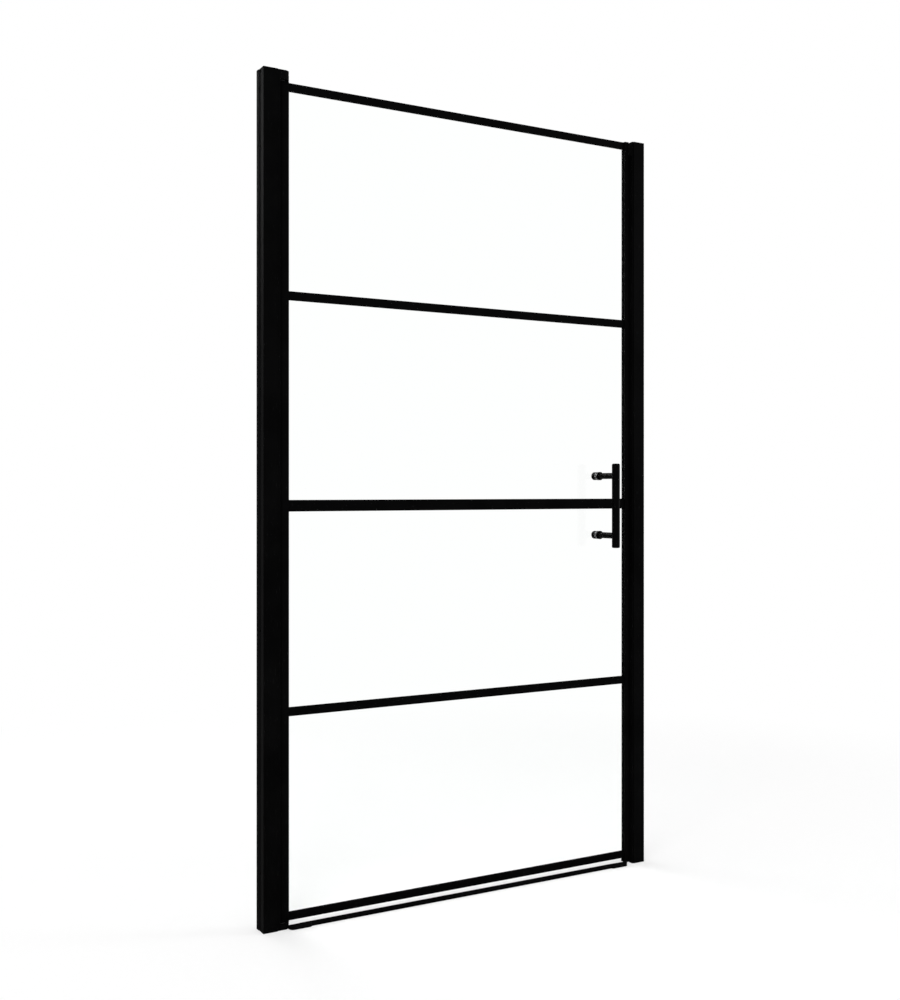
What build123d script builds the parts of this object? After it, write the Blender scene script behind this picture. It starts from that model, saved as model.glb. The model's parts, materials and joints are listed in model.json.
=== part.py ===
from build123d import *
import os

# Framed glass shower door, 1 m wide, on a full height pivot at its left side.
# Millimetres. X runs across the doorway, -Y is the side with the pull handle, Z is up.
# The origin is on the floor, under the middle of the doorway and of the leaf's thickness.

# Outline of the whole door
frame_width = 1000
frame_depth = 38
strike_side_height = 1761
leaf_drop = 1              # from the strike post's top to the leaf's top rail
top_block_height = 18.5    # pivot block over the leaf, which makes the hinge side taller
edge_round = 0.8           # visible edges of the profiles

# Gaps and fits
slide_gap = 0.2        # adjusting post inside its wall channel
seat_gap = 0.1         # plugs, caps and inlays in their seats, each side
bore_gap = 0.05        # round shank or plug in its hole, on the radius
thrust_gap = 0.2       # between the leaf and each pivot bush
seal_gap = 0.3         # between a seal and the moving leaf
magnet_gap = 0.5       # between the two magnet strips when the door is shut
run_out = 1            # of a blind hole past the tip of its screw or stud

# Wall channels, the U sections that are screwed to the two walls
channel_width = 32
channel_wall = 1.7
channel_web = 2.6
channel_edge = 0.4         # chamfer on the outer edges
drill_recess_width = 15
drill_recess_depth = 1.0
drill_rib_width = 1.6
drill_rib_height = 0.5
wall_hole_radius = 2.75
wall_hole_first = 120      # from the floor
wall_hole_last = 141       # from the top of the strike side
wall_hole_count = 4

# Adjusting posts, the closed sections that slide in the channels
post_width = 20.5
post_wall = 1.6
hinge_post_face = 38.5     # from the hinge wall to the face that looks at the leaf
strike_post_face = 35.4    # from the strike wall to the face that looks at the leaf

# Caps on the channels and on the strike post
channel_cap_height = 8
post_cap_plug = 7
cap_edge = 0.4             # chamfer round the visible caps

# Screws that lock each post in its channel, on the rear side
lock_screw_radius = 1.75
lock_screw_length = 9
lock_screw_first = 250     # from the floor
lock_screw_last = 251      # from the top of the strike side
lock_screw_count = 3
pan_head_radius = 3.4
pan_head_height = 2.1
pan_head_taper = 16        # degrees
cross_slot_length = 3.4
cross_slot_width = 0.8
cross_slot_depth = 1.0

# Pivot line and what stands on it
pivot_inset = 48           # from the hinge wall to the pivot line
bottom_block_height = 10.5
block_corner = 13          # round free end of the block
block_plate = 2            # plate that closes the post's end
block_plug_length = 14
bush_radius = 6.5
bush_depth = 8
bush_flange = 1.0
pin_radius = 4
pin_reach = 8              # of the pin out of the leaf
pin_seat_depth = 16
pin_lead = 0.6
block_screw_height = 5.4   # from the block's outer end
block_screw_offset = 10.4  # from the pivot line, to the front and to the rear
block_screw_length = 28
block_screw_sink = 7.5     # of the heads behind the block's free face

# Leaf
stile_depth = 16
hinge_stile_reach = 13.7   # from the pivot line to the stile's glass side
stile_bore_radius = 5.4
glazing_pocket = 7
glazing_mouth = 9.4
glazing_inside = 12.4
glazing_lip = 1.5
strike_stile_left = 50.2   # from the strike wall to the stile's glass side
strike_stile_web = 1.4
magnet_recess = 2.8
magnet_width = 9
strike_stile_bottom = 2
end_plate = 1.1
stile_cap = 1.5
stile_cap_leg = 3
plug_length = 25

# Glass and its gaskets
glass_thickness = 5
gasket_base = 1.2
gasket_barb = 1.2

# Rails round the glass and the three bars across it
rail_depth = 8
rail_height = 17
rail_wall = 1.4
rail_pocket = 9.5
setting_gap = 0.5          # under and over the glass inside the rails
corner_arm_length = 14
bar_height = 18.4
middle_bar_height = 24.3
middle_bar_drop = 8.5      # from the leaf's middle down to the middle bar's
tape_gap = 0.1             # film of tape between a bar and the glass
bar_edge = 0.4
corner_screw_radius = 2
corner_screw_length = 26
corner_head_radius = 2.9

# Magnet strips
magnet_end_gap = 30
leaf_magnet_proud = 1.1
jamb_magnet_depth = 2.2
magnet_edge = 0.5

# Seal in the hinge post
seal_half_width = 2.2
seal_slot_depth = 1.1

# Threshold
threshold_front = -24.4
threshold_rear = 2.6
threshold_front_height = 11.2
threshold_rear_height = 1.6
threshold_wall = 1.4
threshold_rear_rib = 4.2   # solid strip along the low edge
threshold_nose = 1.2
threshold_start = 56.8     # from the hinge wall
threshold_stop = 56        # from the strike wall
end_cover_length = 49
end_cover_top = 1.0
end_cover_front = 4
end_cover_socket = 16
end_cover_corner = 9       # round corner at the outer end
end_cover_inner_corner = 3.5

# Pull handle
handle_inset = 126         # from the strike wall
handle_drop = 4.4          # from the middle bar's middle down to the handle's
handle_length = 200
handle_overhang = 29       # of the bar past each stem's middle
handle_radius = 9.5
handle_wall = 1.5
handle_cap = 4.5
handle_end_round = 3.5
handle_cap_plug = 6
handle_stand_off = 68      # from the glass's middle to the bar's middle
stem_radius = 7.25
rose_radius = 10
rose_thickness = 4
washer_thickness = 1.0
knob_radius = 9.6
knob_length = 14.5
knob_edge = 1.3
glass_hole_radius = 6
sleeve_gap = 0.1
stud_radius = 3
stud_in_stem = 18
stud_in_knob = 10

# Places that follow from the sizes above
hinge_wall = -frame_width / 2
strike_wall = frame_width / 2
half_depth = frame_depth / 2
channel_mouth = frame_depth - 2 * channel_wall
post_depth = channel_mouth - 2 * slide_gap
axis_x = hinge_wall + pivot_inset
hinge_face_x = hinge_wall + hinge_post_face
strike_face_x = strike_wall - strike_post_face
leaf_top = strike_side_height - leaf_drop
leaf_bottom = bottom_block_height + bush_flange + thrust_gap + end_plate
top_block_bottom = leaf_top + end_plate + thrust_gap + bush_flange
hinge_side_height = top_block_bottom + top_block_height
stile_radius = stile_depth / 2
hinge_lip_x = axis_x + hinge_stile_reach
block_face_x = hinge_lip_x
block_length = block_face_x - hinge_face_x
strike_lip_x = strike_wall - strike_stile_left
strike_stile_width = glazing_pocket + strike_stile_web + magnet_recess
strike_end_x = strike_lip_x + strike_stile_width
glass_edge_gap = gasket_base + seat_gap
glass_left = hinge_lip_x - glazing_pocket + glass_edge_gap
glass_right = strike_lip_x + glazing_pocket - glass_edge_gap
rail_base = rail_height - rail_pocket
glass_bottom = leaf_bottom + rail_base + setting_gap
glass_top = leaf_top - rail_base - setting_gap
handle_x = strike_wall - handle_inset
middle_z = (leaf_bottom + leaf_top) / 2 - middle_bar_drop
handle_centre = middle_z - handle_drop
half_glass = glass_thickness / 2
both_sides = (-1, 1)
handle_heights = [handle_centre + s * (handle_length / 2 - handle_overhang) for s in both_sides]

os.makedirs("parts", exist_ok=True)


def spread(first, last, count):
    """Even places from first to last."""
    return [first + (last - first) * i / (count - 1) for i in range(count)]


wall_hole_heights = spread(wall_hole_first, strike_side_height - wall_hole_last, wall_hole_count)
lock_screw_heights = spread(lock_screw_first, strike_side_height - lock_screw_last, lock_screw_count)


def finish(builder, name):
    """Label a finished piece and write it out."""
    builder.part.label = name
    export_step(builder.part, "parts/" + name + ".step")


def side_plane(x, side, z=0):
    """Level plane at a wall or face, its own +x pointing to the doorway: side 1 hinge, -1 strike."""
    return Plane(origin=(x, 0, z), x_dir=(side, 0, 0), z_dir=(0, 0, 1))


def face_plane(x, side):
    """Upright plane across X, its own y up and its normal pointing to the doorway."""
    return Plane(origin=(x, 0, 0), x_dir=(0, side, 0), z_dir=(side, 0, 0))


def rear_plane(y):
    """Upright plane seen from the rear, its own y up and its normal pointing to +Y."""
    return Plane(origin=(0, y, 0), x_dir=(-1, 0, 0), z_dir=(0, 1, 0))


def left_box(width, depth, mode=Mode.ADD):
    """Rectangle that starts on its place and is centred in depth."""
    return Rectangle(width, depth, align=(Align.MIN, Align.CENTER), mode=mode)


# Wall channels: U sections with a drilling recess in the wall face
def wall_channel(name, wall_x, side, height):
    lock_x = lock_screw_x(side)
    with BuildPart() as channel:
        with BuildSketch(side_plane(wall_x, side)) as section:
            left_box(channel_width, frame_depth)
            chamfer(section.vertices(), channel_edge)
            with Locations((channel_web, 0)):
                left_box(channel_width, channel_mouth, Mode.SUBTRACT)
            left_box(drill_recess_depth, drill_recess_width, Mode.SUBTRACT)
            with Locations((drill_recess_depth - drill_rib_height, 0)):
                left_box(drill_rib_height, drill_rib_width)
        extrude(amount=height)
        with BuildSketch(face_plane(wall_x, side)):
            with Locations(*[(0, z) for z in wall_hole_heights]):
                Circle(wall_hole_radius)
        extrude(amount=channel_web, mode=Mode.SUBTRACT)
        with BuildSketch(rear_plane(half_depth)):
            with Locations(*[(-lock_x, z) for z in lock_screw_heights]):
                Circle(lock_screw_radius + bore_gap)
        extrude(amount=-channel_wall, mode=Mode.SUBTRACT)
    finish(channel, name)


def lock_screw_x(side):
    """Middle of the stretch where the channel's flange covers the post."""
    wall_x, face = (hinge_wall, hinge_post_face) if side > 0 else (strike_wall, strike_post_face)
    return wall_x + side * (face - post_width + channel_width) / 2


wall_channel("hinge_wall_channel", hinge_wall, 1, hinge_side_height)
wall_channel("strike_wall_channel", strike_wall, -1, strike_side_height)


# Adjusting posts: closed sections with a slot in the face that looks at the leaf
def post(face_x, side, bottom, top, slot_half, slot_depth):
    lock_x = lock_screw_x(side)
    with BuildPart() as body:
        with BuildSketch(side_plane(face_x, -side, bottom)) as section:
            left_box(post_width, post_depth)
            fillet(section.vertices().group_by(Axis.X)[0], edge_round)
            with Locations((slot_depth + post_wall, 0)):
                left_box(post_width - slot_depth - 2 * post_wall, post_depth - 2 * post_wall, Mode.SUBTRACT)
            left_box(slot_depth, 2 * slot_half, Mode.SUBTRACT)
        extrude(amount=top - bottom)
        with BuildSketch(rear_plane(post_depth / 2)):
            with Locations(*[(-lock_x, z) for z in lock_screw_heights]):
                Circle(lock_screw_radius + bore_gap)
        extrude(amount=-post_wall, mode=Mode.SUBTRACT)
    return body


hinge_post = post(hinge_face_x, 1, block_plate, hinge_side_height - block_plate,
                  seal_half_width, seal_slot_depth)
block_screw_ends = [block_screw_height, hinge_side_height - block_screw_height]
block_screw_places = [(s * block_screw_offset, z) for z in block_screw_ends for s in both_sides]
with BuildPart() as drilled_hinge_post:
    add(hinge_post.part)
    with BuildSketch(face_plane(hinge_face_x, -1)):
        with Locations(*block_screw_places):
            Circle(lock_screw_radius + bore_gap)
    extrude(amount=seal_slot_depth + post_wall, mode=Mode.SUBTRACT)
finish(drilled_hinge_post, "hinge_post")

strike_post = post(strike_face_x, -1, 0, strike_side_height - block_plate,
                   magnet_width / 2, jamb_magnet_depth)
finish(strike_post, "strike_post")


# Caps that close the space between a channel's web and its post at the top
def channel_cap(name, wall_x, side, post_face, top):
    length = post_face - post_width - channel_web - 2 * seat_gap
    start = wall_x + side * (channel_web + seat_gap)
    depth = channel_mouth - 2 * seat_gap
    with BuildPart() as cap:
        with BuildSketch(side_plane(start, side, top - channel_cap_height)):
            left_box(length, depth)
        extrude(amount=channel_cap_height)
        with BuildSketch(side_plane(start + side * post_wall, side, top - channel_cap_height)):
            left_box(length - 2 * post_wall, depth - 2 * post_wall)
        extrude(amount=channel_cap_height - block_plate, mode=Mode.SUBTRACT)
    finish(cap, name)


channel_cap("hinge_channel_cap", hinge_wall, 1, hinge_post_face, hinge_side_height)
channel_cap("strike_channel_cap", strike_wall, -1, strike_post_face, strike_side_height)

# Cap on the strike post, with a plug that fits its hollow
strike_plug_start = strike_face_x + jamb_magnet_depth + post_wall + seat_gap
strike_plug_width = post_width - jamb_magnet_depth - 2 * post_wall - 2 * seat_gap
plug_depth = post_depth - 2 * post_wall - 2 * seat_gap
with BuildPart() as strike_post_cap:
    with BuildSketch(side_plane(strike_face_x, 1, strike_side_height - block_plate)):
        left_box(post_width, post_depth)
    extrude(amount=block_plate)
    chamfer(strike_post_cap.edges().group_by(Axis.Z)[-1], cap_edge)
    with BuildSketch(side_plane(strike_plug_start, 1, strike_side_height - block_plate)):
        left_box(strike_plug_width, plug_depth)
    extrude(amount=-post_cap_plug)
finish(strike_post_cap, "strike_post_cap")


# Pan head screws, head outwards along the plane's normal
def pan_screws(name, plane, places, length, radius, head_radius):
    with BuildPart() as screws:
        with BuildSketch(plane):
            with Locations(*places):
                Circle(head_radius)
        extrude(amount=pan_head_height, taper=pan_head_taper)
        with BuildSketch(plane.offset(pan_head_height)):
            with Locations(*places):
                Rectangle(cross_slot_length, cross_slot_width)
                Rectangle(cross_slot_width, cross_slot_length)
        extrude(amount=-cross_slot_depth, mode=Mode.SUBTRACT)
        with BuildSketch(plane):
            with Locations(*places):
                Circle(radius)
        extrude(amount=-length)
    finish(screws, name)


for screw_name, side in (("hinge_lock_screws", 1), ("strike_lock_screws", -1)):
    pan_screws(screw_name, rear_plane(half_depth), [(-lock_screw_x(side), z) for z in lock_screw_heights],
               lock_screw_length, lock_screw_radius, pan_head_radius)
pan_screws("pivot_block_screws", face_plane(block_face_x - block_screw_sink, 1), block_screw_places,
           block_screw_length, lock_screw_radius, pan_head_radius)

# Soft strip in the hinge post's slot, against the round nose of the leaf
seal_slot_x = hinge_face_x - seal_slot_depth
seal_reach = axis_x - stile_radius - seal_gap - seal_slot_x
with BuildPart() as hinge_side_seal:
    with BuildSketch(side_plane(seal_slot_x, 1, block_plate)):
        left_box(seal_slot_depth, 2 * (seal_half_width - bore_gap))
        with BuildLine():
            tip = (seal_reach, 0)
            low = (seal_slot_depth, -seal_half_width + bore_gap)
            high = (seal_slot_depth, seal_half_width - bore_gap)
            ThreePointArc(low, tip, high)
            Line(high, low)
        make_face()
    extrude(amount=hinge_side_height - 2 * block_plate)
seal_bottom = bottom_block_height + seal_gap
seal_top = top_block_bottom - seal_gap
with BuildPart() as trimmed_hinge_seal:
    add(hinge_side_seal.part)
    split(bisect_by=Plane.XY.offset(seal_bottom), keep=Keep.TOP)
    split(bisect_by=Plane.XY.offset(seal_top), keep=Keep.BOTTOM)
finish(trimmed_hinge_seal, "hinge_side_seal")


# Pivot blocks: a plate over the post's end, a plug in its hollow and the bush seat beside it
def pivot_block(name, end_z, up, height):
    """up is 1 for the block on the floor and -1 for the one at the top."""
    plug_start = hinge_face_x - post_width + post_wall + seat_gap
    plug_width = post_width - 2 * post_wall - seal_slot_depth - 2 * seat_gap
    screw_z = end_z + up * block_screw_height
    screw_ends = [(s * block_screw_offset, screw_z) for s in both_sides]
    with BuildPart() as block:
        with BuildSketch(side_plane(hinge_face_x, 1, end_z)):
            left_box(block_length, post_depth)
        extrude(amount=up * height)
        free_edges = block.edges().filter_by(Axis.Z).group_by(Axis.X)[-1]
        fillet(free_edges, block_corner)
        with BuildSketch(side_plane(hinge_face_x, -1, end_z)):
            left_box(post_width, post_depth)
        extrude(amount=up * block_plate)
        with BuildSketch(side_plane(plug_start, 1, end_z)):
            left_box(plug_width, plug_depth)
        extrude(amount=up * (block_plate + block_plug_length))
        with BuildSketch(side_plane(axis_x, 1, end_z + up * height)):
            Circle(bush_radius + bore_gap)
        extrude(amount=-up * bush_depth, mode=Mode.SUBTRACT)
        with BuildSketch(face_plane(block_face_x, 1)):
            with Locations(*screw_ends):
                Circle(pan_head_radius + seat_gap)
        extrude(amount=-block_screw_sink, mode=Mode.SUBTRACT)
        with BuildSketch(face_plane(block_face_x, 1)):
            with Locations(*screw_ends):
                Circle(lock_screw_radius + bore_gap)
        extrude(amount=-block_screw_sink - block_screw_length - run_out, mode=Mode.SUBTRACT)
    finish(block, name)


pivot_block("bottom_pivot_block", 0, 1, bottom_block_height)
pivot_block("top_pivot_block", hinge_side_height, -1, top_block_height)


# Flanged bushes pressed in the blocks
def bush(name, seat_z, up):
    with BuildPart() as ring:
        with BuildSketch(side_plane(axis_x, 1, seat_z)):
            Circle(bush_radius)
        extrude(amount=-up * bush_depth)
        with BuildSketch(side_plane(axis_x, 1, seat_z)):
            Circle(stile_radius)
        extrude(amount=up * bush_flange)
        with BuildSketch(side_plane(axis_x, 1, seat_z + up * bush_flange)):
            Circle(pin_radius + bore_gap)
        extrude(amount=-up * (bush_flange + bush_depth), mode=Mode.SUBTRACT)
    finish(ring, name)


bush("bottom_pivot_bush", bottom_block_height, 1)
bush("top_pivot_bush", top_block_bottom, -1)


# Leaf stiles
def hinge_stile_outline():
    """Round nose about the pivot line and a square body towards the glass."""
    Circle(stile_radius)
    left_box(hinge_stile_reach, stile_depth)


with BuildPart() as hinge_stile:
    with BuildSketch(side_plane(axis_x, 1, leaf_bottom)) as section:
        hinge_stile_outline()
        fillet(section.vertices().group_by(Axis.X)[-1], edge_round)
        Circle(stile_bore_radius, mode=Mode.SUBTRACT)
        with Locations((hinge_stile_reach - glazing_lip, 0)):
            left_box(glazing_lip, glazing_mouth, Mode.SUBTRACT)
        with Locations((hinge_stile_reach - glazing_pocket, 0)):
            left_box(glazing_pocket - glazing_lip, glazing_inside, Mode.SUBTRACT)
    extrude(amount=leaf_top - leaf_bottom)
finish(hinge_stile, "hinge_stile")

strike_body_bottom = strike_stile_bottom + stile_cap
strike_body_top = strike_side_height - stile_cap
corner_screw_inset = rail_wall + (rail_base - 2 * rail_wall) / 2
corner_screw_heights = [leaf_bottom + corner_screw_inset, leaf_top - corner_screw_inset]
with BuildPart() as strike_stile:
    with BuildSketch(side_plane(strike_lip_x, 1, strike_body_bottom)) as section:
        left_box(strike_stile_width, stile_depth)
        fillet(section.vertices(), edge_round)
        left_box(glazing_lip, glazing_mouth, Mode.SUBTRACT)
        with Locations((glazing_lip, 0)):
            left_box(glazing_pocket - glazing_lip, glazing_inside, Mode.SUBTRACT)
        with Locations((strike_stile_width - magnet_recess, 0)):
            left_box(magnet_recess, magnet_width, Mode.SUBTRACT)
    extrude(amount=strike_body_top - strike_body_bottom)
    with BuildSketch(face_plane(strike_lip_x + glazing_pocket, 1)):
        with Locations(*[(0, z) for z in corner_screw_heights]):
            Circle(corner_screw_radius + bore_gap)
    extrude(amount=strike_stile_web, mode=Mode.SUBTRACT)
finish(strike_stile, "strike_stile")


# Glazing gaskets, U sections with barbs behind the pocket's lips
def gasket(name, lip_x, side):
    leg = (glazing_mouth - glass_thickness) / 2 - bore_gap
    depth = glazing_pocket - seat_gap
    with BuildPart() as strip:
        with BuildSketch(side_plane(lip_x, side, glass_bottom)):
            left_box(depth, glass_thickness + 2 * leg)
            with Locations((glazing_lip + seat_gap, 0)):
                left_box(gasket_barb, glass_thickness + 2 * leg + 2 * gasket_barb)
            left_box(depth - gasket_base, glass_thickness, Mode.SUBTRACT)
        extrude(amount=glass_top - glass_bottom)
    finish(strip, name)


gasket("hinge_glazing_gasket", hinge_lip_x, -1)
gasket("strike_glazing_gasket", strike_lip_x, 1)

# Toughened glass pane with two handle holes
with BuildPart() as glass_pane:
    with BuildSketch(Plane.XZ.offset(-half_glass)):
        with Locations(((glass_left + glass_right) / 2, (glass_bottom + glass_top) / 2)):
            Rectangle(glass_right - glass_left, glass_top - glass_bottom)
        with Locations(*[(handle_x, z) for z in handle_heights]):
            Circle(glass_hole_radius, mode=Mode.SUBTRACT)
    extrude(amount=glass_thickness)
finish(glass_pane, "glass_pane")


# Top and bottom rails: a glass pocket over a closed screw chamber
def rail(name, outer_z, up):
    pocket_width = glass_thickness + 2 * tape_gap
    start = Plane(origin=(hinge_lip_x, 0, outer_z), x_dir=(0, up, 0), z_dir=(1, 0, 0))
    with BuildPart() as body:
        with BuildSketch(start) as section:
            Rectangle(rail_depth, rail_height, align=(Align.CENTER, Align.MIN))
            fillet(section.vertices().group_by(Axis.Y)[0], edge_round)
            with Locations((0, rail_base)):
                Rectangle(pocket_width, rail_pocket, align=(Align.CENTER, Align.MIN), mode=Mode.SUBTRACT)
            with Locations((0, rail_wall)):
                Rectangle(pocket_width, rail_base - 2 * rail_wall,
                          align=(Align.CENTER, Align.MIN), mode=Mode.SUBTRACT)
        extrude(amount=strike_lip_x - hinge_lip_x)
    finish(body, name)


rail("bottom_rail", leaf_bottom, 1)
rail("top_rail", leaf_top, -1)


# Flat bars taped to both faces of the glass
def glazing_bar(name, centre_z, height, face):
    """face is -1 on the handle side and 1 on the rear side."""
    inner = half_glass + tape_gap
    thickness = rail_depth / 2 - inner
    length = strike_lip_x - hinge_lip_x - 2 * seat_gap
    plane = Plane(origin=((hinge_lip_x + strike_lip_x) / 2, face * inner, centre_z),
                  x_dir=(-face, 0, 0), z_dir=(0, face, 0))
    with BuildPart() as bar:
        with BuildSketch(plane):
            Rectangle(length, height)
        extrude(amount=thickness)
        outer_face = bar.faces().sort_by(Axis.Y)[0 if face < 0 else -1]
        chamfer(outer_face.edges().filter_by(Axis.X), bar_edge)
    finish(bar, name)


# The middle bar sits a little low, and the other two stand midway in the fields over and under it
upper_z = (leaf_top - rail_height + middle_z + middle_bar_height / 2) / 2
lower_z = (leaf_bottom + rail_height + middle_z - middle_bar_height / 2) / 2
bars = {"upper": (upper_z, bar_height), "middle": (middle_z, middle_bar_height), "lower": (lower_z, bar_height)}
for level, (bar_z, bar_size) in bars.items():
    glazing_bar(level + "_bar_front", bar_z, bar_size, -1)
    glazing_bar(level + "_bar_rear", bar_z, bar_size, 1)


# Corner plugs at the hinge side: end plate, boss in the stile's bore, arm in the rail
def pivot_plug(name, end_z, up):
    """end_z is the stile's end, and up points from that end into the leaf."""
    arm_low = rail_wall + seat_gap
    arm_height = rail_base - 2 * rail_wall - 2 * seat_gap
    arm_start = hinge_stile_reach - glazing_pocket + seat_gap
    with BuildPart() as plug:
        with BuildSketch(side_plane(axis_x, 1, end_z)):
            hinge_stile_outline()
        extrude(amount=-up * end_plate)
        with BuildSketch(side_plane(axis_x, 1, end_z)):
            Circle(stile_bore_radius - bore_gap)
        extrude(amount=up * plug_length)
        with BuildSketch(side_plane(axis_x + arm_start, 1, end_z)):
            left_box(glazing_pocket - glazing_lip, glass_thickness)
        extrude(amount=up * (arm_low + arm_height))
        with BuildSketch(side_plane(axis_x + arm_start, 1, end_z + up * arm_low)):
            left_box(glazing_pocket + corner_arm_length, glass_thickness)
        extrude(amount=up * arm_height)
        with BuildSketch(side_plane(axis_x, 1, end_z - up * end_plate)):
            Circle(pin_radius + bore_gap)
        extrude(amount=up * (end_plate + pin_seat_depth), mode=Mode.SUBTRACT)
    finish(plug, name)


pivot_plug("bottom_pivot_plug", leaf_bottom, 1)
pivot_plug("top_pivot_plug", leaf_top, -1)


# Steel pins pressed in the plugs
def pivot_pin(name, end_z, up):
    tip_z = end_z - up * (end_plate + pin_reach)
    with BuildPart() as pin:
        with BuildSketch(side_plane(axis_x, 1, tip_z)):
            Circle(pin_radius)
        extrude(amount=up * (pin_reach + end_plate + pin_seat_depth))
        chamfer(pin.edges().sort_by(Axis.Z)[0 if up > 0 else -1], pin_lead)
    finish(pin, name)


pivot_pin("bottom_pivot_pin", leaf_bottom, 1)
pivot_pin("top_pivot_pin", leaf_top, -1)


# End caps of the strike stile, each with two legs in the glazing pocket beside the screw
def strike_cap(name, end_z, up):
    """end_z is the cap's outer face, and up points into the leaf."""
    leg_inner = corner_screw_radius + 3 * seat_gap
    leg_outer = glazing_inside / 2 - seat_gap
    leg_middle = (leg_inner + leg_outer) / 2
    with BuildPart() as cap:
        with BuildSketch(side_plane(strike_lip_x, 1, end_z)):
            left_box(strike_stile_width, stile_depth)
        extrude(amount=up * stile_cap)
        outer_edges = cap.faces().sort_by(Axis.Z)[0 if up > 0 else -1].edges()
        chamfer(outer_edges, cap_edge)
        with BuildSketch(side_plane(strike_lip_x + glazing_lip + seat_gap, 1, end_z + up * stile_cap)):
            with Locations((0, -leg_middle), (0, leg_middle)):
                left_box(glazing_pocket - glazing_lip - 2 * seat_gap, leg_outer - leg_inner)
        extrude(amount=up * stile_cap_leg)
    finish(cap, name)


strike_cap("strike_stile_bottom_cap", strike_stile_bottom, 1)
strike_cap("strike_stile_top_cap", strike_side_height, -1)

# Screws through the strike stile into the chambers of the rails
pan_screws("corner_screws", face_plane(strike_lip_x + glazing_pocket + strike_stile_web, 1),
           [(0, z) for z in corner_screw_heights], corner_screw_length, corner_screw_radius,
           corner_head_radius)


# Magnet strips that hold the leaf shut
def magnet_strip(name, seat_x, side, proud, recess, bottom, top):
    with BuildPart() as strip:
        with BuildSketch(side_plane(seat_x, side, bottom)):
            left_box(recess + proud, magnet_width - 2 * seat_gap)
        extrude(amount=top - bottom)
        face_edges = strip.edges().filter_by(Axis.Z).group_by(Axis.X)[-1 if side > 0 else 0]
        chamfer(face_edges, magnet_edge)
    finish(strip, name)


jamb_magnet_proud = strike_face_x - strike_end_x - leaf_magnet_proud - magnet_gap
magnet_strip("leaf_magnet_strip", strike_end_x - magnet_recess, 1, leaf_magnet_proud,
             magnet_recess, leaf_bottom + magnet_end_gap, leaf_top - magnet_end_gap)
magnet_strip("strike_magnet_strip", strike_face_x + jamb_magnet_depth, -1, jamb_magnet_proud,
             jamb_magnet_depth, leaf_bottom + magnet_end_gap, leaf_top - magnet_end_gap)


# Threshold: a hollow wedge that falls away towards the rear
def wedge(front, rear, front_height, rear_height):
    """Corners in Y and Z of a wedge that stands on the floor."""
    return (front, 0), (rear, 0), (rear, rear_height), (front, front_height)


strip_left = hinge_wall + threshold_start + end_cover_length - end_cover_socket
strip_right = strike_wall - threshold_stop - end_cover_length + end_cover_socket
strip_length = strip_right - strip_left
fall = (threshold_front_height - threshold_rear_height) / (threshold_rear - threshold_front)
hollow_front = threshold_front + threshold_wall
hollow_rear = threshold_rear - threshold_rear_rib
hollow_front_height = threshold_front_height - threshold_wall * (1 + fall)
hollow_rear_height = threshold_front_height - threshold_wall - fall * (hollow_rear - threshold_front)
with BuildPart() as threshold_strip:
    with BuildSketch(Plane.YZ.offset(strip_left)):
        with BuildLine():
            Polyline(*wedge(threshold_front, threshold_rear, threshold_front_height, threshold_rear_height),
                     close=True)
        make_face()
    extrude(amount=strip_length)
    ridge = threshold_strip.edges().filter_by(Axis.X).sort_by(Axis.Z)[-1]
    fillet(ridge, threshold_nose)
    with BuildSketch(Plane.YZ.offset(strip_left)):
        with BuildLine():
            Polyline(*wedge(hollow_front, hollow_rear, hollow_front_height, hollow_rear_height),
                     close=True)
        make_face()
    extrude(amount=strip_length, mode=Mode.SUBTRACT)
finish(threshold_strip, "threshold_strip")


# Moulded covers that take the strip's two ends
def threshold_end(name, end_x, side):
    """side is 1 at the hinge side, where the cover runs towards +X and clears the pivot block's round end."""
    front = threshold_front - end_cover_front
    rear = threshold_rear + end_cover_top
    top = threshold_front_height + end_cover_top
    rear_top = top - fall * (rear - front)
    start = Plane(origin=(end_x, 0, 0), x_dir=(0, 1, 0), z_dir=(1, 0, 0))
    socket_x = end_x + side * (end_cover_length - end_cover_socket)
    socket = Plane(origin=(socket_x, 0, 0), x_dir=(0, 1, 0), z_dir=(1, 0, 0))
    with BuildPart() as cover:
        with BuildSketch(start):
            with BuildLine():
                Polyline(*wedge(front, rear, top, rear_top), close=True)
            make_face()
        extrude(amount=side * end_cover_length)
        front_edges = cover.edges().filter_by(Axis.Z).group_by(Axis.Y)[0].sort_by(Axis.X)
        outer_edge, inner_edge = (front_edges[0], front_edges[-1])[::side]
        fillet(outer_edge, end_cover_corner)
        chamfer(inner_edge, end_cover_inner_corner)
        ridge_edges = cover.edges().filter_by(Axis.X).sort_by(Axis.Z)[-1]
        chamfer(ridge_edges, edge_round)
        with BuildSketch(socket):
            with BuildLine():
                Polyline(*wedge(threshold_front - seat_gap, threshold_rear + seat_gap,
                                threshold_front_height + fall * seat_gap + seat_gap,
                                threshold_rear_height - fall * seat_gap + seat_gap), close=True)
            make_face()
        extrude(amount=side * end_cover_socket, mode=Mode.SUBTRACT)
        if side > 0:
            with BuildSketch(side_plane(hinge_face_x, 1)) as block_outline:
                left_box(block_length + seat_gap, post_depth + 2 * seat_gap)
                fillet(block_outline.vertices().group_by(Axis.X)[-1], block_corner + seat_gap)
            extrude(amount=top, mode=Mode.SUBTRACT)
    finish(cover, name)


threshold_end("threshold_end_left", hinge_wall + threshold_start, 1)
threshold_end("threshold_end_right", strike_wall - threshold_stop, -1)

# Pull handle: a tube on two stems
bar_y = -handle_stand_off
bar_bottom = handle_centre - handle_length / 2
tube_length = handle_length - 2 * handle_cap
with BuildPart() as handle_bar:
    with BuildSketch(Plane(origin=(handle_x, bar_y, bar_bottom + handle_cap))):
        Circle(handle_radius)
        Circle(handle_radius - handle_wall, mode=Mode.SUBTRACT)
    extrude(amount=tube_length)
finish(handle_bar, "handle_bar")


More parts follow.
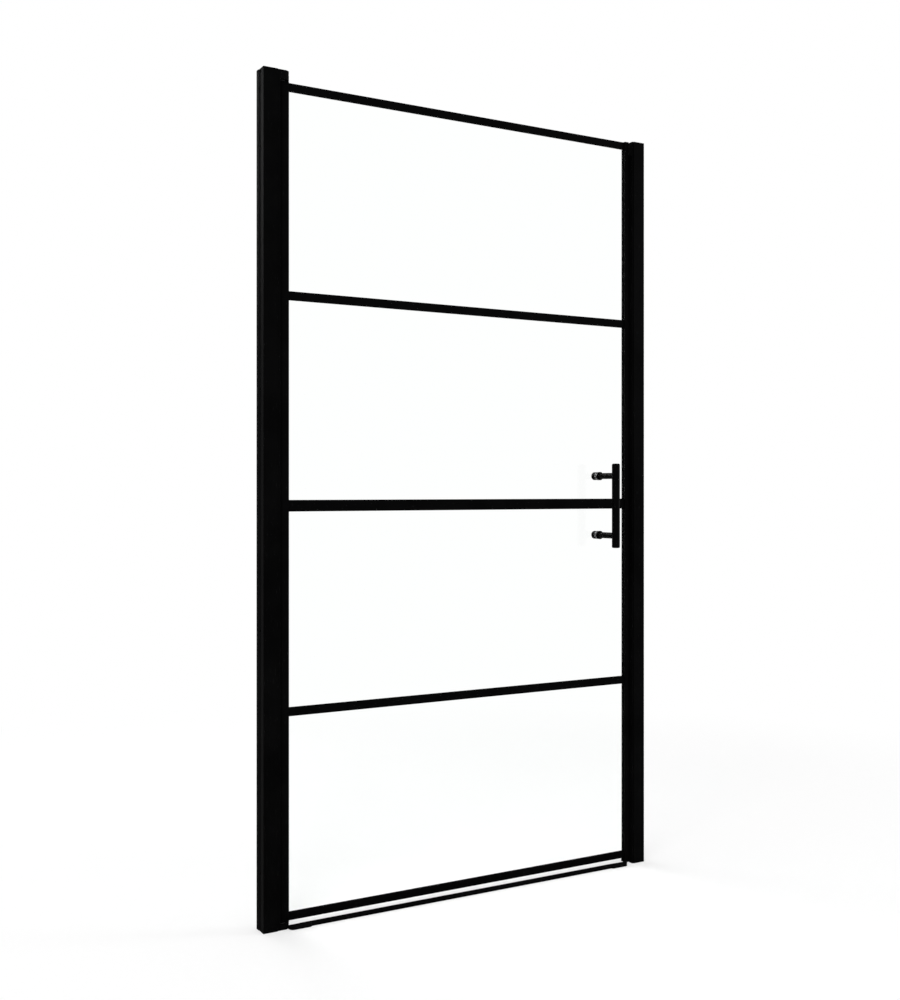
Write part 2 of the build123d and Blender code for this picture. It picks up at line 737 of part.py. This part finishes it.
def handle_end(name, end_z, up):
    with BuildPart() as cap:
        with BuildSketch(Plane(origin=(handle_x, bar_y, end_z))):
            Circle(handle_radius)
        extrude(amount=up * handle_cap)
        fillet(cap.edges().sort_by(Axis.Z)[0 if up > 0 else -1], handle_end_round)
        with BuildSketch(Plane(origin=(handle_x, bar_y, end_z + up * handle_cap))):
            Circle(handle_radius - handle_wall - bore_gap)
        extrude(amount=up * handle_cap_plug)
    finish(cap, name)


handle_end("handle_bottom_cap", bar_bottom, 1)
handle_end("handle_top_cap", bar_bottom + handle_length, -1)

front_washer_y = -half_glass - washer_thickness
rose_y = front_washer_y - rose_thickness
rear_washer_y = half_glass + washer_thickness


def handle_stem(name, z):
    """Round stem from the rose to the bar, its end coped to the bar's tube."""
    with BuildPart() as stem:
        with BuildSketch(Plane(origin=(handle_x, rose_y, z), x_dir=(1, 0, 0), z_dir=(0, -1, 0))):
            Circle(stem_radius)
        extrude(amount=rose_y - bar_y)
        with BuildSketch(Plane(origin=(handle_x, bar_y, z - 2 * stem_radius))):
            Circle(handle_radius + bore_gap)
        extrude(amount=4 * stem_radius, mode=Mode.SUBTRACT)
        with BuildSketch(Plane(origin=(handle_x, rose_y, z), x_dir=(1, 0, 0), z_dir=(0, -1, 0))):
            Circle(stud_radius + bore_gap)
        extrude(amount=stud_in_stem, mode=Mode.SUBTRACT)
    finish(stem, name)


def rear_knob(name, z):
    """Blind round nut behind the glass, with a softened rim."""
    with BuildPart() as knob:
        with BuildSketch(Plane(origin=(handle_x, rear_washer_y, z), x_dir=(-1, 0, 0), z_dir=(0, 1, 0))):
            Circle(knob_radius)
        extrude(amount=knob_length)
        chamfer(knob.edges().sort_by(Axis.Y)[-1], knob_edge)
        with BuildSketch(Plane(origin=(handle_x, rear_washer_y, z), x_dir=(-1, 0, 0), z_dir=(0, 1, 0))):
            Circle(stud_radius + bore_gap)
        extrude(amount=stud_in_knob + run_out, mode=Mode.SUBTRACT)
    finish(knob, name)


for level, z in zip(("lower", "upper"), handle_heights):
    handle_stem(level + "_handle_stem", z)
    rear_knob(level + "_handle_knob", z)


# Discs, sleeves and studs on the two handle lines
def on_handle_lines(y, radius, hole_radius, length):
    """Two like discs or tubes that start on y and run towards +Y."""
    with BuildPart() as pair:
        with BuildSketch(Plane(origin=(0, y, 0), x_dir=(-1, 0, 0), z_dir=(0, 1, 0))):
            with Locations(*[(-handle_x, z) for z in handle_heights]):
                Circle(radius)
            if hole_radius:
                with Locations(*[(-handle_x, z) for z in handle_heights]):
                    Circle(hole_radius, mode=Mode.SUBTRACT)
        extrude(amount=length)
    return pair


stud_hole = stud_radius + bore_gap
finish(on_handle_lines(rose_y, rose_radius, stud_hole, rose_thickness), "handle_roses")
finish(on_handle_lines(front_washer_y, rose_radius - bore_gap, stud_hole, washer_thickness),
       "front_glass_washers")
finish(on_handle_lines(half_glass, rose_radius - bore_gap, stud_hole, washer_thickness),
       "rear_glass_washers")
finish(on_handle_lines(-half_glass, glass_hole_radius - sleeve_gap, stud_hole, glass_thickness),
       "glass_hole_sleeves")
stud_front = rose_y - stud_in_stem + run_out
stud_rear = rear_washer_y + stud_in_knob
finish(on_handle_lines(stud_front, stud_radius, 0, stud_rear - stud_front), "handle_studs")
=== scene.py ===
"""Looks of a black framed glass shower door: finishes, floor, light and camera around the frame."""
import json
import math
from functools import cache

import bpy
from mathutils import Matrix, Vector


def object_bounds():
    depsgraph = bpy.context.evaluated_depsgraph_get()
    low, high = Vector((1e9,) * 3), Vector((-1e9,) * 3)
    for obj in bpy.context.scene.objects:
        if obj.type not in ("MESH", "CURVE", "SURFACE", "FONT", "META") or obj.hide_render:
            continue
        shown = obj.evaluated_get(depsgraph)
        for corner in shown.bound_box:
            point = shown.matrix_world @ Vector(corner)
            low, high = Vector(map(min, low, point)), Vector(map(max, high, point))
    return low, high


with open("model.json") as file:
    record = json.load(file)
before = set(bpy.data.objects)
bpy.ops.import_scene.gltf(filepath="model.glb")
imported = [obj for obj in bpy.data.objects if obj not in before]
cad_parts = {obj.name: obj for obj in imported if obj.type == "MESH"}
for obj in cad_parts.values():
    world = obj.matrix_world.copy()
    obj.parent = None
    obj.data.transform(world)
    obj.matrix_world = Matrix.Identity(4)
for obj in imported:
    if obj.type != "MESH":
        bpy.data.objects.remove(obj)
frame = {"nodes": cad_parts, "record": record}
nodes = frame["nodes"]
cad_box = [list(corner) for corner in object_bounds()]

MM = 0.001
AXES = X_AXIS, Y_AXIS, Z_AXIS = 0, 1, 2
AXIS_LETTERS = "xyz"

# Sockets of the Mix node, which has one set for numbers and another for colours
MIX_FACTOR, MIX_FIRST_COLOUR, MIX_SECOND_COLOUR = 0, 6, 7
MIX_COLOUR_RESULT = 2

EDGE_SAMPLES = 6
MIDDLE = (0.3, 0.7)  # where most of a noise's values lie
UNCHANGED = 1.0  # length of a mark, in metres, that is longer than any turned piece is wide


class Value:
    """A shader socket that can stand in a Python expression."""

    def __init__(self, graph, socket):
        self.graph = graph
        self.socket = socket

    def math(self, operation, *others):
        inputs = dict(enumerate((self, *others)))
        return self.graph.node("ShaderNodeMath", {"operation": operation}, inputs)

    def __add__(self, other):
        return self.math("ADD", other)

    __radd__ = __add__

    def __mul__(self, other):
        return self.math("MULTIPLY", other)

    __rmul__ = __mul__

    def __sub__(self, other):
        return self.math("SUBTRACT", other)

    def __rsub__(self, other):
        return self * -1 + other

    def clipped(self):
        """The value kept between 0 and 1."""
        return self.math("MAXIMUM", 0.0).math("MINIMUM", 1.0)

    def between(self, low, high):
        """0 below low, 1 above high, and a soft ramp from one to the other."""
        settings = {"interpolation_type": "SMOOTHSTEP"}
        inputs = {"Value": self, "From Min": low, "From Max": high}
        return self.graph.node("ShaderNodeMapRange", settings, inputs)


class Graph:
    """A node tree, filled node by node."""

    def __init__(self, tree):
        self.tree = tree
        tree.nodes.clear()

    def node(self, kind, settings=None, inputs=None, out=0):
        """Add a node: its settings first, then values or links for its sockets."""
        made = self.tree.nodes.new(kind)
        for key, value in (settings or {}).items():
            setattr(made, key, value)
        for key, value in (inputs or {}).items():
            if isinstance(value, Value):
                self.tree.links.new(value.socket, made.inputs[key])
            else:
                made.inputs[key].default_value = value
        return Value(self, made.outputs[out]) if len(made.outputs) else None

    def mixed(self, mask, first, second):
        """Shader that goes from first to second as the mask goes from 0 to 1."""
        return self.node("ShaderNodeMixShader", None, {0: mask, 1: first, 2: second})

    def seen(self):
        """1 for rays that show the surroundings to the camera, in a reflection or through glass."""
        to_camera, reflected, through_glass = [
            self.node("ShaderNodeLightPath", out=ray)
            for ray in ("Is Camera Ray", "Is Glossy Ray", "Is Transmission Ray")
        ]
        return (to_camera + reflected + through_glass).clipped()


class Finish(Graph):
    """One material. Grains and depths are lengths on the piece, in metres.

    A finish with a direction has the letter of its axis in its name.
    """

    def __init__(self, name, axis=None):
        self.material = bpy.data.materials.new(name if axis is None else f"{name}_{AXIS_LETTERS[axis]}")
        self.material.use_nodes = True
        super().__init__(self.material.node_tree)

    def place(self):
        """Where a point lies on the piece."""
        return self.node("ShaderNodeTexCoord", out="Object")

    def grains(self, size):
        """The place, counted in grains: one length, or one for each axis."""
        lengths = size if isinstance(size, list) else [size for axis in AXES]
        scale = [1 / length for length in lengths]
        return self.node("ShaderNodeMapping", None, {"Vector": self.place(), "Scale": scale})

    def noise(self, size, detail=3.0, roughness=0.5):
        inputs = {"Vector": self.grains(size), "Scale": 1.0, "Detail": detail, "Roughness": roughness}
        return self.node("ShaderNodeTexNoise", None, inputs, out="Fac")

    def lines(self, axis, width, length, detail):
        """Faint lines along one axis."""
        return self.noise([length if other == axis else width for other in AXES], detail)

    def rings(self, axis, width, detail=1.0):
        """Turning marks round one axis, each the same all round the piece."""
        return self.noise([width if other == axis else UNCHANGED for other in AXES], detail)

    def cells(self, size):
        settings = {"feature": "SMOOTH_F1"}
        inputs = {"Vector": self.grains(size), "Scale": 1.0}
        return self.node("ShaderNodeTexVoronoi", settings, inputs, out="Distance")

    def blend(self, mask, first, second):
        """Colour that goes from first to second as the mask goes from 0 to 1."""
        inputs = {MIX_FACTOR: mask, MIX_FIRST_COLOUR: first, MIX_SECOND_COLOUR: second}
        return self.node("ShaderNodeMix", {"data_type": "RGBA"}, inputs, out=MIX_COLOUR_RESULT)

    def soft_edges(self, radius):
        """Normal that rounds every sharp edge by the radius."""
        return self.node("ShaderNodeBevel", {"samples": EDGE_SAMPLES}, {"Radius": radius})

    def relief(self, height, depth, normal=None):
        """Normal of a fine relief."""
        inputs = {"Height": height, "Strength": 1.0, "Distance": depth}
        if normal is not None:
            inputs["Normal"] = normal
        return self.node("ShaderNodeBump", None, inputs)

    def surface(self, colour, roughness, normal=None, specular=0.5, **more):
        inputs = {"Base Color": colour, "Roughness": roughness, "Specular IOR Level": specular, **more}
        if normal is not None:
            inputs["Normal"] = normal
        return self.node("ShaderNodeBsdfPrincipled", None, inputs)

    def done(self, shader):
        self.node("ShaderNodeOutputMaterial", None, {"Surface": shader})
        return self.material


def grey(level):
    return (level, level, level, 1.0)


def cool(level, tint=1.05):
    """A grey with a touch more blue."""
    return (level, level, level * tint, 1.0)


def powder_coat(axis):
    """Satin black powder coat on extrusions: orange peel, and faint draw lines along the length."""
    f = Finish("satin_black_powder_coat", axis)
    peel = f.noise(2 * MM, detail=2.0)
    mottle = f.noise(110 * MM, detail=4.0, roughness=0.6)
    speck = f.noise(0.4 * MM, detail=1.0)
    draw_lines = f.lines(axis, 1.1 * MM, 800 * MM, detail=2.0)
    colour = f.blend(mottle.between(*MIDDLE), cool(0.0010), cool(0.0020))
    roughness = 0.5 + mottle * 0.05 + speck * 0.05
    height = peel * 0.8 + draw_lines * 0.05 + speck * 0.1
    normal = f.relief(height, 0.04 * MM, f.soft_edges(0.45 * MM))
    return f.done(f.surface(colour, roughness, normal, specular=0.008))


def casting_coat():
    """Black coat over die castings, a little coarser than on the extrusions."""
    f = Finish("black_coated_casting")
    grain = f.noise(3 * MM)
    pits = f.cells(1.1 * MM)
    mottle = f.noise(25 * MM)
    colour = f.blend(mottle.between(*MIDDLE), cool(0.0012), cool(0.0022))
    normal = f.relief(grain + pits * 0.4, 0.07 * MM, f.soft_edges(0.6 * MM))
    return f.done(f.surface(colour, 0.5 + mottle * 0.1, normal, specular=0.01))


def handle_coat(axis):
    """Finer satin black on the handle, turned under the coat and rubbed by hands."""
    f = Finish("satin_black_handle", axis)
    peel = f.noise(1.1 * MM, detail=2.0)
    turning = f.rings(axis, 0.4 * MM)
    touch = f.noise(40 * MM, roughness=0.6)
    colour = f.blend(touch.between(0.35, 0.7), cool(0.0011), cool(0.0018))
    normal = f.relief(peel * 0.7 + turning * 0.2, 0.03 * MM, f.soft_edges(0.4 * MM))
    return f.done(f.surface(colour, 0.3 + touch * 0.09, normal, specular=0.012))


def black_zinc():
    """Black zinc plate on small screws, a little brown where it is thick."""
    f = Finish("black_zinc_plate")
    bloom = f.noise(1.4 * MM)
    colour = f.blend(bloom, cool(0.0040), (0.0090, 0.0088, 0.0085, 1.0))
    normal = f.relief(bloom, 0.02 * MM, f.soft_edges(0.25 * MM))
    return f.done(f.surface(colour, 0.34 + bloom * 0.16, normal, specular=0.08, Metallic=0.5))


def black_plastic():
    """Moulded black plastic with a fine spark grain."""
    f = Finish("moulded_black_plastic")
    grain = f.cells(0.7 * MM)
    cloud = f.noise(17 * MM)
    colour = f.blend(cloud.between(*MIDDLE), cool(0.0016), cool(0.0028))
    normal = f.relief(grain, 0.06 * MM, f.soft_edges(0.4 * MM))
    return f.done(f.surface(colour, 0.55 + cloud * 0.1, normal, specular=0.012))


def black_rubber(axis):
    """Extruded rubber: dull and a little dusty, with drawn lines along its length."""
    f = Finish("matt_black_rubber", axis)
    draw_lines = f.lines(axis, 0.7 * MM, 170 * MM, detail=2.0)
    dust = f.noise(22 * MM, detail=4.0, roughness=0.65)
    colour = f.blend(dust.between(0.35, 0.75), grey(0.0020), grey(0.0040))
    normal = f.relief(draw_lines, 0.04 * MM, f.soft_edges(0.3 * MM))
    return f.done(f.surface(colour, 0.72 + dust * 0.12, normal, specular=0.03))


def magnet_sleeve(axis):
    """Smooth black sleeve round the bonded magnet, with shallow lines along it."""
    f = Finish("black_magnet_sleeve", axis)
    draw_lines = f.lines(axis, 0.8 * MM, 500 * MM, detail=1.0)
    cloud = f.noise(33 * MM, detail=2.0)
    colour = f.blend(cloud, cool(0.0018), cool(0.0034))
    normal = f.relief(draw_lines, 0.03 * MM, f.soft_edges(0.3 * MM))
    return f.done(f.surface(colour, 0.36 + cloud * 0.1, normal, specular=0.05))


def dark_nylon():
    """Dark nylon bush, waxy, with faint turning rings."""
    f = Finish("dark_nylon")
    turning = f.rings(Z_AXIS, 0.33 * MM)
    cloud = f.noise(8 * MM, detail=2.0)
    colour = f.blend(cloud, cool(0.018), cool(0.032))
    normal = f.relief(turning, 0.02 * MM, f.soft_edges(0.3 * MM))
    return f.done(f.surface(colour, 0.42 + cloud * 0.08, normal, specular=0.35))


def turned_steel(axis):
    """Stainless pins and studs, with fine turning rings."""
    f = Finish("turned_stainless_steel", axis)
    turning = f.rings(axis, 0.24 * MM, detail=2.0)
    stain = f.noise(3.3 * MM)
    colour = f.blend(stain, cool(0.52, tint=1.02), cool(0.64, tint=1.02))
    normal = f.relief(turning, 0.012 * MM, f.soft_edges(0.25 * MM))
    return f.done(f.surface(colour, 0.24 + turning * 0.12, normal, Metallic=1.0))


def clear_plastic():
    """Clear, slightly milky plastic of the washers and of the sleeve in each handle hole."""
    f = Finish("clear_sleeve_plastic")
    haze = f.noise(2.5 * MM, detail=2.0)
    normal = f.relief(haze, 0.01 * MM)
    milky = {"Transmission Weight": 0.8, "IOR": 1.46}
    return f.done(f.surface(cool(0.85, tint=1.01), 0.3 + haze * 0.1, normal, **milky))


def clear_glass():
    """Clear toughened glass: polished, with the very slight waviness of the toughening oven.

    Its index is lower than real glass has, so that it hardly mirrors the handle, as in the photograph.
    """
    f = Finish("clear_toughened_glass")
    roller_wave = f.noise([1.6, 1.0, 0.2], detail=1.0)
    film = f.noise(70 * MM, roughness=0.6)
    normal = f.relief(roller_wave, 0.15 * MM)
    clear = {"Transmission Weight": 1.0, "IOR": 1.25}
    pane = f.surface((0.99, 1.0, 0.995, 1.0), 0.004 * film.between(0.5, 0.8), normal, **clear)
    shadow = f.node("ShaderNodeLightPath", out="Is Shadow Ray")
    see_through = f.node("ShaderNodeBsdfTransparent", None, {"Color": (0.97, 0.985, 0.98, 1.0)})
    return f.done(f.mixed(shadow, pane, see_through))


# Finish of each material slot: even ones, and those that follow the direction of the piece
even_finishes = {
    "black_casting": casting_coat,
    "black_screw": black_zinc,
    "black_plastic": black_plastic,
    "pivot_nylon": dark_nylon,
    "clear_sleeve": clear_plastic,
    "clear_glass": clear_glass,
}
directed_finishes = {
    "black_profile": powder_coat,
    "black_rubber": black_rubber,
    "magnet_strip": magnet_sleeve,
    "black_handle": handle_coat,
    "pivot_steel": turned_steel,
}

# Pieces that lie across the doorway, and pieces turned on the line through the glass; the rest stand
across_doorway = [
    "top_rail",
    "bottom_rail",
    "upper_bar_front",
    "upper_bar_rear",
    "middle_bar_front",
    "middle_bar_rear",
    "lower_bar_front",
    "lower_bar_rear",
    "threshold_strip",
]
through_glass = [
    "upper_handle_stem",
    "lower_handle_stem",
    "handle_roses",
    "handle_studs",
    "upper_handle_knob",
    "lower_handle_knob",
]
directions = dict.fromkeys(across_doorway, X_AXIS) | dict.fromkeys(through_glass, Y_AXIS)


@cache
def finish_of(slot, axis):
    """The material of a slot, made once for each direction that it is needed in."""
    return directed_finishes[slot](axis) if slot in directed_finishes else even_finishes[slot]()


def dress_frame():
    """Give every CAD node the finish of its own material slot."""
    for entry in frame["record"]["subparts"]:
        axis = directions.get(entry["node"], Z_AXIS)
        mesh = nodes[entry["node"]].data
        mesh.materials.clear()
        mesh.materials.append(finish_of(entry["material_slot"], axis))


# Floor: pale, with a soft shadow near the door that fades out to the white behind it
floor_size = 16.0
floor_drop = 0.2 * MM
floor_grain = 17 * MM
floor_colours = grey(0.93), grey(0.96)
floor_roughness = 0.9
floor_specular = 0.1
shadow_share = 0.5
shadow_reach = (1.2, 2.6)


def pale_floor():
    f = Finish("pale_floor")
    distance = f.node("ShaderNodeVectorMath", {"operation": "LENGTH"}, {0: f.place()}, out="Value")
    near = 1 - distance.between(*shadow_reach)
    colour = f.blend(f.noise(floor_grain), *floor_colours)
    matt = f.surface(colour, floor_roughness, specular=floor_specular)
    white = f.node("ShaderNodeEmission", None, {"Color": grey(1.0), "Strength": 1.0})
    return f.done(f.mixed(f.seen() * (1 - near * shadow_share), matt, white))


def lay_floor():
    mesh = bpy.data.meshes.new("floor")
    half = floor_size / 2
    corners = [(-half, -half, 0), (half, -half, 0), (half, half, 0), (-half, half, 0)]
    mesh.from_pydata(corners, [], [(0, 1, 2, 3)])
    mesh.materials.append(pale_floor())
    floor = bpy.data.objects.new("floor", mesh)
    floor.location.z = cad_box[0][2] - floor_drop
    bpy.context.scene.collection.objects.link(floor)


# Light: three soft boxes, turned to the middle of the door, and an even white room
door_middle = Vector((0, 0, 0.9))
room_light = 0.64
soft_boxes = {
    "key_box": {"place": (-2.6, -2.2, 3.0), "size": (1.6, 1.6), "power": 55},
    "side_box": {"place": (2.8, -1.4, 1.8), "size": (0.8, 2.4), "power": 26},
    "rear_box": {"place": (-0.6, 3.0, 2.6), "size": (2.0, 1.2), "power": 40},
}


def soft_lamp(name, place, size, power):
    """Soft box that faces the middle of the door."""
    light = bpy.data.lights.new(name, "AREA")
    light.shape = "RECTANGLE"
    light.size, light.size_y = size
    light.energy = power
    lamp = bpy.data.objects.new(name, light)
    lamp.location = place
    lamp.rotation_euler = (door_middle - Vector(place)).to_track_quat("-Z", "Y").to_euler()
    bpy.context.scene.collection.objects.link(lamp)


def white_room():
    """White to the eye, in reflections and through glass, and soft light for all else."""
    world = bpy.data.worlds.new("plain_studio")
    bpy.context.scene.world = world
    world.use_nodes = True
    room = Graph(world.node_tree)
    light = room.node("ShaderNodeBackground", None, {"Color": grey(1.0), "Strength": room_light})
    white = room.node("ShaderNodeBackground", None, {"Color": grey(1.0), "Strength": 1.0})
    room.node("ShaderNodeOutputWorld", None, {"Surface": room.mixed(room.seen(), light, white)})


# Camera: level, at 0.91 m, turned 30.87 degrees from square to the door
camera_place = (-1.512, -2.457, 0.910)
camera_turn = math.radians(-30.87)
sensor_width = 36.0
image_height = 1000
focal_pixels = 1274
horizon_row = 490.4


def set_camera():
    data = bpy.data.cameras.new("camera")
    data.sensor_width = sensor_width
    data.lens = sensor_width * focal_pixels / image_height
    data.shift_y = (horizon_row - image_height / 2) / image_height
    camera = bpy.data.objects.new("camera", data)
    camera.location = camera_place
    camera.rotation_euler = (math.pi / 2, 0, camera_turn)
    bpy.context.scene.collection.objects.link(camera)
    bpy.context.scene.camera = camera


dress_frame()
lay_floor()
for name, box in soft_boxes.items():
    soft_lamp(name, **box)
white_room()
set_camera()
bpy.context.scene.view_settings.view_transform = "Standard"

bpy.context.view_layer.update()
